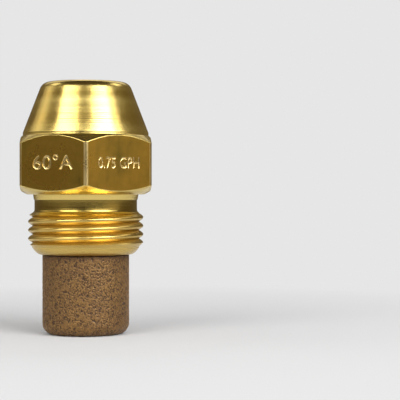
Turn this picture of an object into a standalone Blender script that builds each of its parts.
"""Oil burner nozzle: a hexagon brass body with a steel orifice disc in its nose, a slotted distributor and a
locking screw behind it, and a sintered bronze filter on a screwed bush at the inlet end.

The nozzle stands on its filter. The origin is the middle of the filter's closed end, +Z is the spray
direction, and a corner of the hexagon points along -Y. Lengths are in metres.
"""

import math

import bmesh
import bpy
from mathutils import Matrix

MM = 0.001

# Driving dimensions of the body.
ACROSS_FLATS = 16.0 * MM
NOSE_TOP_Z = 31.25 * MM
NOSE_FACE_R = 4.52 * MM
NOSE_ROUND = 1.25 * MM
CONE_HALF_ANGLE = math.radians(20.9)
CONE_BASE_Z = 24.95 * MM
LAND_R = 7.8 * MM
HEX_TOP_Z = 24.6 * MM
HEX_TOP_CHAMFER = math.radians(38.0)
SHOULDER_Z = 17.3 * MM
SHOULDER_R = 7.3 * MM
SHOULDER_CHAMFER = math.radians(30.0)
COLLAR_TOP_R = 6.54 * MM
COLLAR_R = 6.43 * MM
COLLAR_Z = 16.64 * MM
NECK_R = 6.36 * MM
NECK_Z = 15.2 * MM

# The body's inlet end is rounded, to seal in the holder.
END_Z = 9.87 * MM
END_ROUND = 1.73 * MM
END_CENTRE_R = 5.05 * MM
END_CENTRE_Z = 11.47 * MM
END_START = math.radians(-21.0)

# Outer thread of the body: 9/16 inch, 24 turns to the inch, right-handed.
THREAD_R = 7.144 * MM
THREAD_PITCH = 25.4 / 24 * MM
THREAD_DEPTH = 0.62 * MM
THREAD_TOP_Z = 14.65 * MM
THREAD_CREST_Z = 14.47 * MM

# Stepped bore of the body.
BORE_R = 4.1 * MM
BORE_MOUTH_R = 4.45 * MM
BORE_END_Z = 21.2 * MM
CHAMBER_R = 3.2 * MM
LIP_BACK_Z = 29.35 * MM
APERTURE_R = 2.55 * MM

# Inner thread, M8 x 0.75, shared by the locking screw and the filter bush.
INNER_THREAD_R = 4.0 * MM
INNER_PITCH = 0.75 * MM
INNER_DEPTH = 0.4 * MM

# Orifice disc.
DISC_R = 3.15 * MM
DISC_BACK_Z = 27.9 * MM
DISC_BOSS_R = 2.47 * MM
DISC_FRONT_Z = 31.13 * MM
SEAT_MOUTH_R = 2.6 * MM
SWIRL_R = 0.45 * MM
SWIRL_TOP_Z = 30.5 * MM
ORIFICE_R = 0.15 * MM

# Distributor.
DISTRIBUTOR_R = 2.9 * MM
DISTRIBUTOR_BACK_Z = 22.6 * MM
DISTRIBUTOR_SHOULDER_Z = 27.55 * MM
SEAT_GAP = 0.06 * MM
SWIRL_SLOTS = 3
SWIRL_SLOT_WIDTH = 0.36 * MM
SWIRL_SLOT_DEPTH = 0.3 * MM

# Locking screw.
SCREW_BACK_Z = 17.4 * MM
SCREW_THREAD_TOP_Z = 21.0 * MM
SCREW_TIP_R = 2.1 * MM
SCREW_TIP_Z = 22.52 * MM
DRIVER_SLOT_WIDTH = 1.1 * MM
DRIVER_SLOT_DEPTH = 1.2 * MM
PASSAGES = 4
PASSAGE_R = 0.5 * MM
PASSAGE_RING_R = 2.75 * MM

# Filter bush.
BUSH_BACK_Z = 5.2 * MM
BUSH_STUB_R = 3.8 * MM
BUSH_STUB_TOP_Z = 10.3 * MM
BUSH_TOP_Z = 14.0 * MM
BUSH_BORE_R = 2.4 * MM
BUSH_SLOT_WIDTH = 1.3 * MM
BUSH_SLOT_DEPTH = 0.9 * MM

# Filter cup.
FILTER_R = 5.37 * MM
FILTER_TOP_Z = 9.77 * MM
FILTER_INNER_R = 3.85 * MM
FILTER_FLOOR = 1.6 * MM
FILTER_ROUND = 1.3 * MM

EDGE = 0.06 * MM
BODY_SEGMENTS = 60
SMALL_SEGMENTS = 36
FILTER_SEGMENTS = 48
ARC_STEPS = 5
BODY_THREAD_ROWS = 5
SMALL_THREAD_ROWS = 4
SHARP_ANGLE = math.radians(30.0)


def clear_scene():
    for obj in list(bpy.data.objects):
        bpy.data.objects.remove(obj, do_unlink=True)


def make_material(name, colour, roughness, metallic):
    material = bpy.data.materials.new(name)
    material.use_nodes = True
    shader = material.node_tree.nodes["Principled BSDF"]
    shader.inputs["Base Color"].default_value = (*colour, 1.0)
    shader.inputs["Roughness"].default_value = roughness
    shader.inputs["Metallic"].default_value = metallic
    return material


def arc(centre_r, centre_z, radius, start, stop, steps=ARC_STEPS):
    """Points of an arc in the (r, z) plane, from one angle to another, ends included."""
    points = []
    for step in range(steps + 1):
        angle = start + (stop - start) * step / steps
        points.append((centre_r + radius * math.cos(angle), centre_z + radius * math.sin(angle)))
    return points


def rows_between(low, high, spacing):
    """Heights from high down to low, ends left out, no further apart than spacing."""
    count = math.ceil((high - low) / spacing)
    return [high + (low - high) * step / count for step in range(1, count)]


def turned(outline, segments):
    """A closed solid of revolution about Z. The outline is a closed loop of (r, z) points."""
    shape = bmesh.new()
    corners = [shape.verts.new((r, 0.0, z)) for r, z in outline]
    edges = [shape.edges.new((corners[i - 1], corners[i])) for i in range(len(corners))]
    bmesh.ops.spin(
        shape,
        geom=corners + edges,
        cent=(0.0, 0.0, 0.0),
        axis=(0.0, 0.0, 1.0),
        dvec=(0.0, 0.0, 0.0),
        angle=math.tau,
        steps=segments,
        use_merge=True,
        use_duplicate=False,
    )
    bmesh.ops.remove_doubles(shape, verts=shape.verts[:], dist=1e-7)
    bmesh.ops.recalc_face_normals(shape, faces=shape.faces[:])
    return shape


def thread_height(z, angle, pitch, crest_z):
    """Height of a right-hand 60 degree thread form, 0 at the root and 1 at the crest."""
    turns = (z - crest_z) / pitch - angle / math.tau
    from_crest = abs(turns - round(turns))
    return min(1.0, max(0.0, (0.36 - from_crest) / 0.30))


def cut_thread(shape, low, high, root_r, depth, pitch, crest_z):
    """Presses the thread form into the outer skin between two heights, below its own radius."""
    for vert in shape.verts:
        radius = math.hypot(vert.co.x, vert.co.y)
        if not (low < vert.co.z < high and radius > root_r):
            continue
        angle = math.atan2(vert.co.y, vert.co.x)
        new_radius = min(radius, root_r + depth * thread_height(vert.co.z, angle, pitch, crest_z))
        vert.co.x *= new_radius / radius
        vert.co.y *= new_radius / radius


def make_object(name, shape, material):
    mesh = bpy.data.meshes.new(name)
    shape.to_mesh(mesh)
    shape.free()
    mesh.shade_smooth()
    mesh.set_sharp_from_angle(angle=SHARP_ANGLE)
    mesh.materials.append(material)
    obj = bpy.data.objects.new(name, mesh)
    bpy.context.scene.collection.objects.link(obj)
    return obj


def cut_away(target, cutter):
    """Leaves the cutter out of the target with a Boolean, and hides the cutter."""
    cutter.hide_render = True
    cutter.display_type = "WIRE"
    cut = target.modifiers.new(cutter.name, "BOOLEAN")
    cut.operation = "DIFFERENCE"
    cut.solver = "EXACT"
    cut.object = cutter


def box_shape(size, matrix):
    shape = bmesh.new()
    bmesh.ops.create_cube(shape, size=1.0, matrix=matrix @ Matrix.Diagonal((*size, 1.0)))
    return shape


def pole_shape(radius, low, high, x, y, segments=12):
    """An upright cylinder with its axis through (x, y)."""
    shape = bmesh.new()
    bmesh.ops.create_cone(
        shape,
        cap_ends=True,
        segments=segments,
        radius1=radius,
        radius2=radius,
        depth=high - low,
        matrix=Matrix.Translation((x, y, (low + high) / 2)),
    )
    return shape


def hexagon_ring():
    """What a hexagon bar lacks of a round one: an outer ring with a hexagonal hole, corner towards -Y."""
    corner_r = ACROSS_FLATS / math.sqrt(3.0)
    margin = 1.0 * MM
    low, high = SHOULDER_Z - margin, CONE_BASE_Z + margin
    shape = bmesh.new()
    for radius in (corner_r, 2 * corner_r):
        bmesh.ops.create_circle(shape, segments=6, radius=radius, matrix=Matrix.Translation((0.0, 0.0, low)))
    bottom = bmesh.ops.bridge_loops(shape, edges=shape.edges[:])["faces"]
    top = bmesh.ops.extrude_face_region(shape, geom=bottom)["geom"]
    bmesh.ops.translate(
        shape,
        verts=[item for item in top if isinstance(item, bmesh.types.BMVert)],
        vec=(0.0, 0.0, high - low),
    )
    bmesh.ops.recalc_face_normals(shape, faces=shape.faces[:])
    return shape


def nozzle_body(material):
    """The brass body, turned from hexagon bar and bored from the inlet end."""
    bar_r = ACROSS_FLATS / math.sqrt(3.0) + 0.1 * MM
    thread_spacing = THREAD_PITCH / BODY_THREAD_ROWS
    outline = [(APERTURE_R + EDGE, NOSE_TOP_Z)]
    outline += arc(
        NOSE_FACE_R, NOSE_TOP_Z - NOSE_ROUND, NOSE_ROUND, math.pi / 2, CONE_HALF_ANGLE
    )
    outline += [(LAND_R, CONE_BASE_Z), (LAND_R, HEX_TOP_Z)]
    outline += [(bar_r, HEX_TOP_Z - (bar_r - LAND_R) * math.tan(HEX_TOP_CHAMFER))]
    outline += [(bar_r, SHOULDER_Z + (bar_r - SHOULDER_R) * math.tan(SHOULDER_CHAMFER))]
    outline += [(SHOULDER_R, SHOULDER_Z), (COLLAR_TOP_R, SHOULDER_Z), (COLLAR_R, COLLAR_Z)]
    outline += [(NECK_R, COLLAR_Z), (NECK_R, NECK_Z), (THREAD_R, THREAD_TOP_Z)]
    end_stop = math.asin((END_Z - END_CENTRE_Z) / END_ROUND)
    end_arc = arc(END_CENTRE_R, END_CENTRE_Z, END_ROUND, END_START, end_stop)
    end_arc_r, end_arc_z = end_arc[0]
    thread_low = end_arc_z + (THREAD_R - end_arc_r)
    outline += [(THREAD_R, z) for z in rows_between(thread_low, THREAD_TOP_Z, thread_spacing)]
    outline += [(THREAD_R, thread_low)] + end_arc + [(BORE_MOUTH_R, END_Z)]
    outline += [(BORE_R, END_Z + BORE_MOUTH_R - BORE_R), (BORE_R, BORE_END_Z)]
    outline += [(CHAMBER_R, BORE_END_Z + BORE_R - CHAMBER_R), (CHAMBER_R, LIP_BACK_Z)]
    outline += [(APERTURE_R, LIP_BACK_Z), (APERTURE_R, NOSE_TOP_Z - EDGE)]
    shape = turned(outline, BODY_SEGMENTS)
    cut_thread(
        shape, END_Z, NECK_Z, THREAD_R - THREAD_DEPTH, THREAD_DEPTH, THREAD_PITCH, THREAD_CREST_Z
    )
    body = make_object("nozzle_body", shape, material)
    cut_away(body, make_object("hexagon_cutter", hexagon_ring(), material))
    return body


def orifice_disc(material):
    """The steel disc pressed in behind the nose: conical seat, swirl chamber and spray orifice."""
    seat_end_z = DISC_BACK_Z + SEAT_MOUTH_R - SWIRL_R
    throat_z = SWIRL_TOP_Z + SWIRL_R - ORIFICE_R
    outline = [
        (ORIFICE_R, DISC_FRONT_Z),
        (DISC_BOSS_R - EDGE, DISC_FRONT_Z),
        (DISC_BOSS_R, DISC_FRONT_Z - EDGE),
        (DISC_BOSS_R, LIP_BACK_Z - EDGE),
        (DISC_R, LIP_BACK_Z - EDGE),
        (DISC_R, DISC_BACK_Z),
        (SEAT_MOUTH_R, DISC_BACK_Z),
        (SWIRL_R, seat_end_z),
        (SWIRL_R, SWIRL_TOP_Z),
        (ORIFICE_R, throat_z),
    ]
    return make_object("orifice_disc", turned(outline, SMALL_SEGMENTS), material)


def distributor(material):
    """The steel plug whose 45 degree cone seats in the orifice disc, with tangential swirl slots."""
    cone_base_r = DISC_BACK_Z + SEAT_MOUTH_R - SEAT_GAP * math.sqrt(2.0) - DISTRIBUTOR_SHOULDER_Z
    tip_z = DISTRIBUTOR_SHOULDER_Z + cone_base_r - SWIRL_R
    outline = [
        (0.0, tip_z),
        (SWIRL_R, tip_z),
        (cone_base_r, DISTRIBUTOR_SHOULDER_Z),
        (DISTRIBUTOR_R, DISTRIBUTOR_SHOULDER_Z - (DISTRIBUTOR_R - cone_base_r)),
        (DISTRIBUTOR_R, DISTRIBUTOR_BACK_Z + 3 * EDGE),
        (DISTRIBUTOR_R - 3 * EDGE, DISTRIBUTOR_BACK_Z),
        (0.0, DISTRIBUTOR_BACK_Z),
    ]
    plug = make_object("distributor", turned(outline, SMALL_SEGMENTS), material)
    reach = 2 * cone_base_r
    middle_r = (SWIRL_R + cone_base_r) / 2
    middle_z = (tip_z + DISTRIBUTOR_SHOULDER_Z) / 2
    size = (reach, SWIRL_SLOT_WIDTH, 2 * SWIRL_SLOT_DEPTH)
    for index in range(SWIRL_SLOTS):
        place = (
            Matrix.Rotation(math.tau * index / SWIRL_SLOTS, 4, "Z")
            @ Matrix.Translation((middle_r, SWIRL_R - SWIRL_SLOT_WIDTH / 2, middle_z))
            @ Matrix.Rotation(math.radians(45.0), 4, "Y")
        )
        cutter = make_object(f"swirl_slot_cutter_{index + 1}", box_shape(size, place), material)
        cut_away(plug, cutter)
    return plug


def locking_screw(material):
    """The brass screw that presses the distributor home, with a driver slot and oil passages."""
    thread_spacing = INNER_PITCH / SMALL_THREAD_ROWS
    lead = INNER_DEPTH
    outline = [(0.0, SCREW_TIP_Z), (SCREW_TIP_R, SCREW_TIP_Z), (SCREW_TIP_R, SCREW_THREAD_TOP_Z)]
    outline += [(INNER_THREAD_R - lead, SCREW_THREAD_TOP_Z)]
    high = SCREW_THREAD_TOP_Z - lead
    low = SCREW_BACK_Z + lead
    outline += [(INNER_THREAD_R, high)]
    outline += [(INNER_THREAD_R, z) for z in rows_between(low, high, thread_spacing)]
    outline += [(INNER_THREAD_R, low), (INNER_THREAD_R - lead, SCREW_BACK_Z), (0.0, SCREW_BACK_Z)]
    shape = turned(outline, SMALL_SEGMENTS)
    cut_thread(
        shape, SCREW_BACK_Z, SCREW_THREAD_TOP_Z, INNER_THREAD_R - INNER_DEPTH, INNER_DEPTH,
        INNER_PITCH, SCREW_BACK_Z,
    )
    screw = make_object("locking_screw", shape, material)
    slot_size = (4 * INNER_THREAD_R, DRIVER_SLOT_WIDTH, 2 * DRIVER_SLOT_DEPTH)
    slot = box_shape(slot_size, Matrix.Translation((0.0, 0.0, SCREW_BACK_Z)))
    cut_away(screw, make_object("driver_slot_cutter", slot, material))
    for index in range(PASSAGES):
        angle = math.tau * (index + 0.5) / PASSAGES
        passage = pole_shape(
            PASSAGE_R, SCREW_BACK_Z - MM, SCREW_THREAD_TOP_Z + MM,
            PASSAGE_RING_R * math.cos(angle), PASSAGE_RING_R * math.sin(angle),
        )
        cut_away(screw, make_object(f"passage_cutter_{index + 1}", passage, material))
    return screw


def filter_bush(material):
    """The hollow brass screw that the filter cup is pressed on."""
    thread_spacing = INNER_PITCH / SMALL_THREAD_ROWS
    lead = INNER_DEPTH
    high = BUSH_TOP_Z - lead
    low = BUSH_STUB_TOP_Z + INNER_THREAD_R - BUSH_STUB_R
    outline = [(BUSH_BORE_R, BUSH_TOP_Z), (INNER_THREAD_R - lead, BUSH_TOP_Z), (INNER_THREAD_R, high)]
    outline += [(INNER_THREAD_R, z) for z in rows_between(low, high, thread_spacing)]
    outline += [(INNER_THREAD_R, low), (BUSH_STUB_R, BUSH_STUB_TOP_Z)]
    outline += [(BUSH_STUB_R, BUSH_BACK_Z + 3 * EDGE), (BUSH_STUB_R - 3 * EDGE, BUSH_BACK_Z)]
    outline += [(BUSH_BORE_R, BUSH_BACK_Z)]
    shape = turned(outline, SMALL_SEGMENTS)
    cut_thread(
        shape, BUSH_STUB_TOP_Z, BUSH_TOP_Z, INNER_THREAD_R - INNER_DEPTH, INNER_DEPTH,
        INNER_PITCH, SCREW_BACK_Z,
    )
    bush = make_object("filter_bush", shape, material)
    slot_size = (4 * BUSH_STUB_R, BUSH_SLOT_WIDTH, 2 * BUSH_SLOT_DEPTH)
    slot = box_shape(slot_size, Matrix.Translation((0.0, 0.0, BUSH_BACK_Z)))
    cut_away(bush, make_object("bush_slot_cutter", slot, material))
    return bush


def filter_cup(material):
    """The sintered bronze cup, closed at the bottom."""
    outline = [(FILTER_INNER_R, FILTER_TOP_Z), (FILTER_R - 2 * EDGE, FILTER_TOP_Z)]
    outline += [(FILTER_R, FILTER_TOP_Z - 2 * EDGE)]
    outline += arc(FILTER_R - FILTER_ROUND, FILTER_ROUND, FILTER_ROUND, 0.0, -math.pi / 2)
    outline += [(0.0, 0.0), (0.0, FILTER_FLOOR)]
    outline += arc(
        FILTER_INNER_R - FILTER_ROUND / 2, FILTER_FLOOR + FILTER_ROUND / 2, FILTER_ROUND / 2,
        -math.pi / 2, 0.0, 3,
    )
    return make_object("filter_cup", turned(outline, FILTER_SEGMENTS), material)


def main():
    clear_scene()
    brass = make_material("turned_brass", (0.72, 0.50, 0.16), 0.22, 1.0)
    screw_brass = make_material("screw_brass", (0.74, 0.54, 0.20), 0.30, 1.0)
    bush_brass = make_material("bush_brass", (0.70, 0.50, 0.18), 0.30, 1.0)
    steel = make_material("orifice_steel", (0.56, 0.55, 0.53), 0.28, 1.0)
    hard_steel = make_material("distributor_steel", (0.50, 0.50, 0.50), 0.30, 1.0)
    bronze = make_material("sintered_bronze", (0.34, 0.20, 0.11), 0.75, 0.6)
    nozzle_body(brass)
    orifice_disc(steel)
    distributor(hard_steel)
    locking_screw(screw_brass)
    filter_bush(bush_brass)
    filter_cup(bronze)


main()
